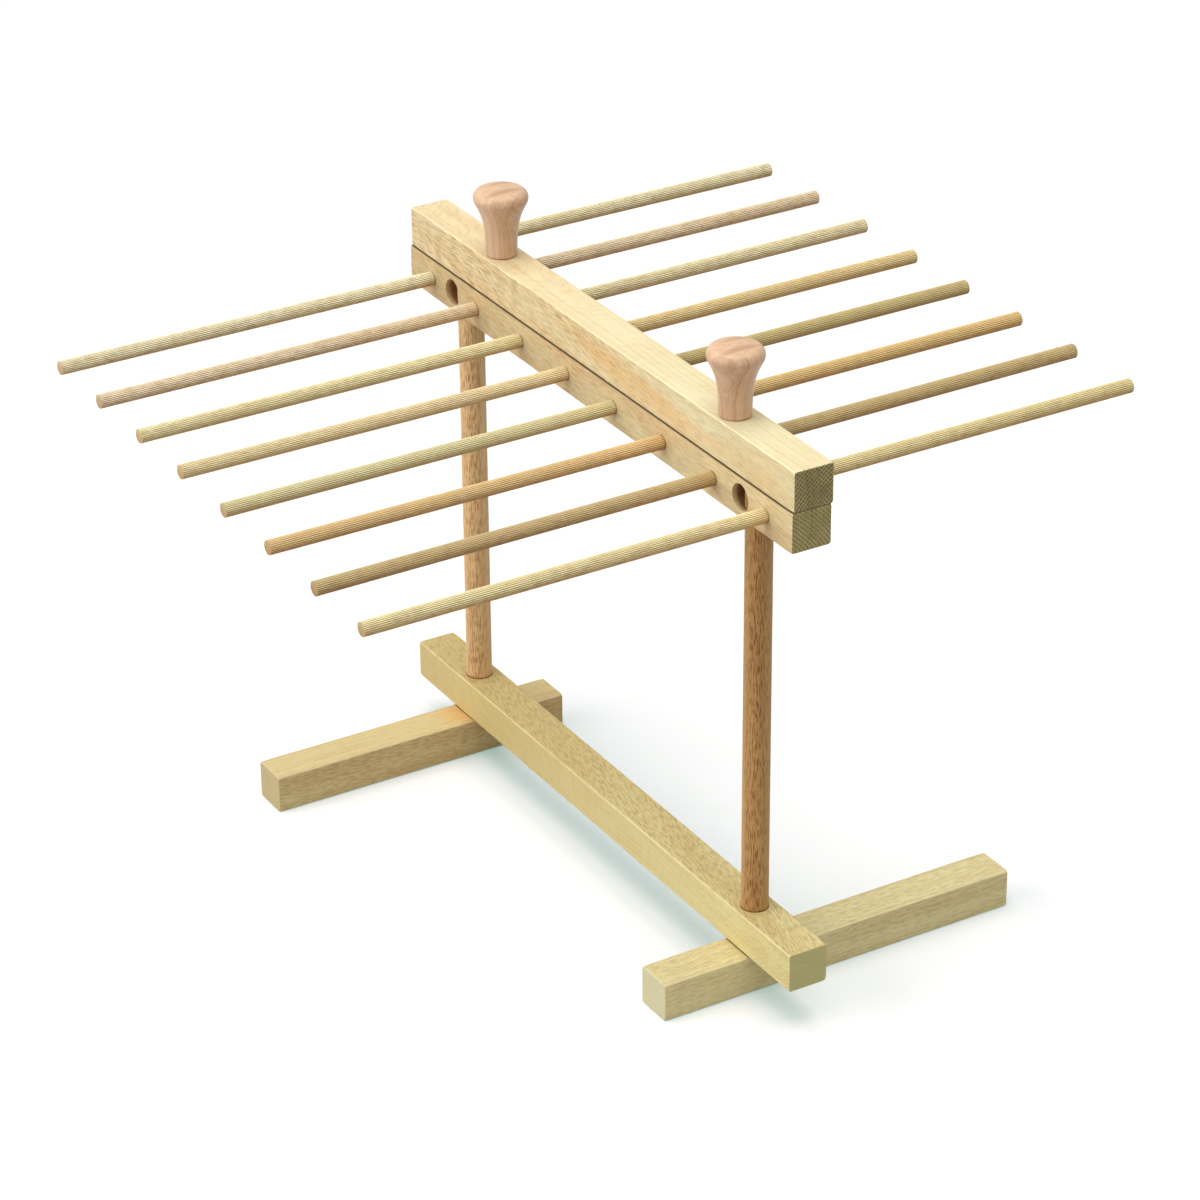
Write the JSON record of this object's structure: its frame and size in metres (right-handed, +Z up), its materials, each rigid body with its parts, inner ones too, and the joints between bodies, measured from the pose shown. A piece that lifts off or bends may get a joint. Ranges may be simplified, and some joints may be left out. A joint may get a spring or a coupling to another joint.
{
  "type": "pasta drying rack",
  "caption": "Free-standing wooden drying rack: a rail on two folding cross feet, two round posts and a head of two stacked bars with fluted rods out to each side.",
  "frame": {"origin": "on the floor, in the middle of the outline seen from above, so the posts' plane lies 21.9 mm to +X of it", "axes": "+X towards the short upper rods, +Y along the rail towards the far end, +Z up"},
  "size_m": [0.5702, 0.515, 0.4672],
  "materials": {
    "bar_beech": "planed beech, sanded, no varnish",
    "post_beech": "turned beech, steamed brown, no varnish",
    "rod_beech": "fluted beech dowel, no varnish",
    "knob_beech": "turned beech, finely sanded",
    "steel": "zinc plated"
  },
  "bodies": {
    "base": {"rail": "bar_beech", "post_near": "post_beech", "post_far": "post_beech", "pivot_screw_near": "steel", "pivot_screw_far": "steel", "head_washer_near": "steel", "head_washer_far": "steel", "spacer_washer_near": "steel", "spacer_washer_far": "steel"},
    "near_foot": {"foot_near": "bar_beech"},
    "far_foot": {"foot_far": "bar_beech"},
    "lower_comb": {"lower_bar": "bar_beech", "lower_rod_1": "rod_beech", "lower_rod_2": "rod_beech", "lower_rod_3": "rod_beech", "lower_rod_4": "rod_beech", "lower_rod_5": "rod_beech", "lower_rod_6": "rod_beech", "lower_rod_7": "rod_beech", "lower_rod_8": "rod_beech"},
    "upper_comb": {"upper_bar": "bar_beech", "upper_rod_1": "rod_beech", "upper_rod_2": "rod_beech", "upper_rod_3": "rod_beech", "upper_rod_4": "rod_beech", "upper_rod_5": "rod_beech", "upper_rod_6": "rod_beech", "upper_rod_7": "rod_beech", "upper_rod_8": "rod_beech"},
    "near_knob": {"knob_near": "knob_beech"},
    "far_knob": {"knob_far": "knob_beech"}
  },
  "joints": [
    {"name": "near_foot_fold", "type": "hinge", "parent": "base", "child": "near_foot", "pos_m": [0.0219, -0.191, 0.0294], "axis": [0, 0, 1], "range_deg": [0, 90]},
    {"name": "far_foot_fold", "type": "hinge", "parent": "base", "child": "far_foot", "pos_m": [0.0219, 0.191, 0.0294], "axis": [0, 0, 1], "range_deg": [0, 90]},
    {"name": "lower_comb_lift", "type": "slide", "parent": "base", "child": "lower_comb", "axis": [0, 0, 1], "range_m": [0, 0.023]},
    {"name": "upper_comb_lift", "type": "slide", "parent": "lower_comb", "child": "upper_comb", "axis": [0, 0, 1], "range_m": [0, 0.008]},
    {"name": "near_knob_pull", "type": "slide", "parent": "upper_comb", "child": "near_knob", "axis": [0, 0, 1], "range_m": [0, 0.037]},
    {"name": "far_knob_pull", "type": "slide", "parent": "upper_comb", "child": "far_knob", "axis": [0, 0, 1], "range_m": [0, 0.037]}
  ]
}
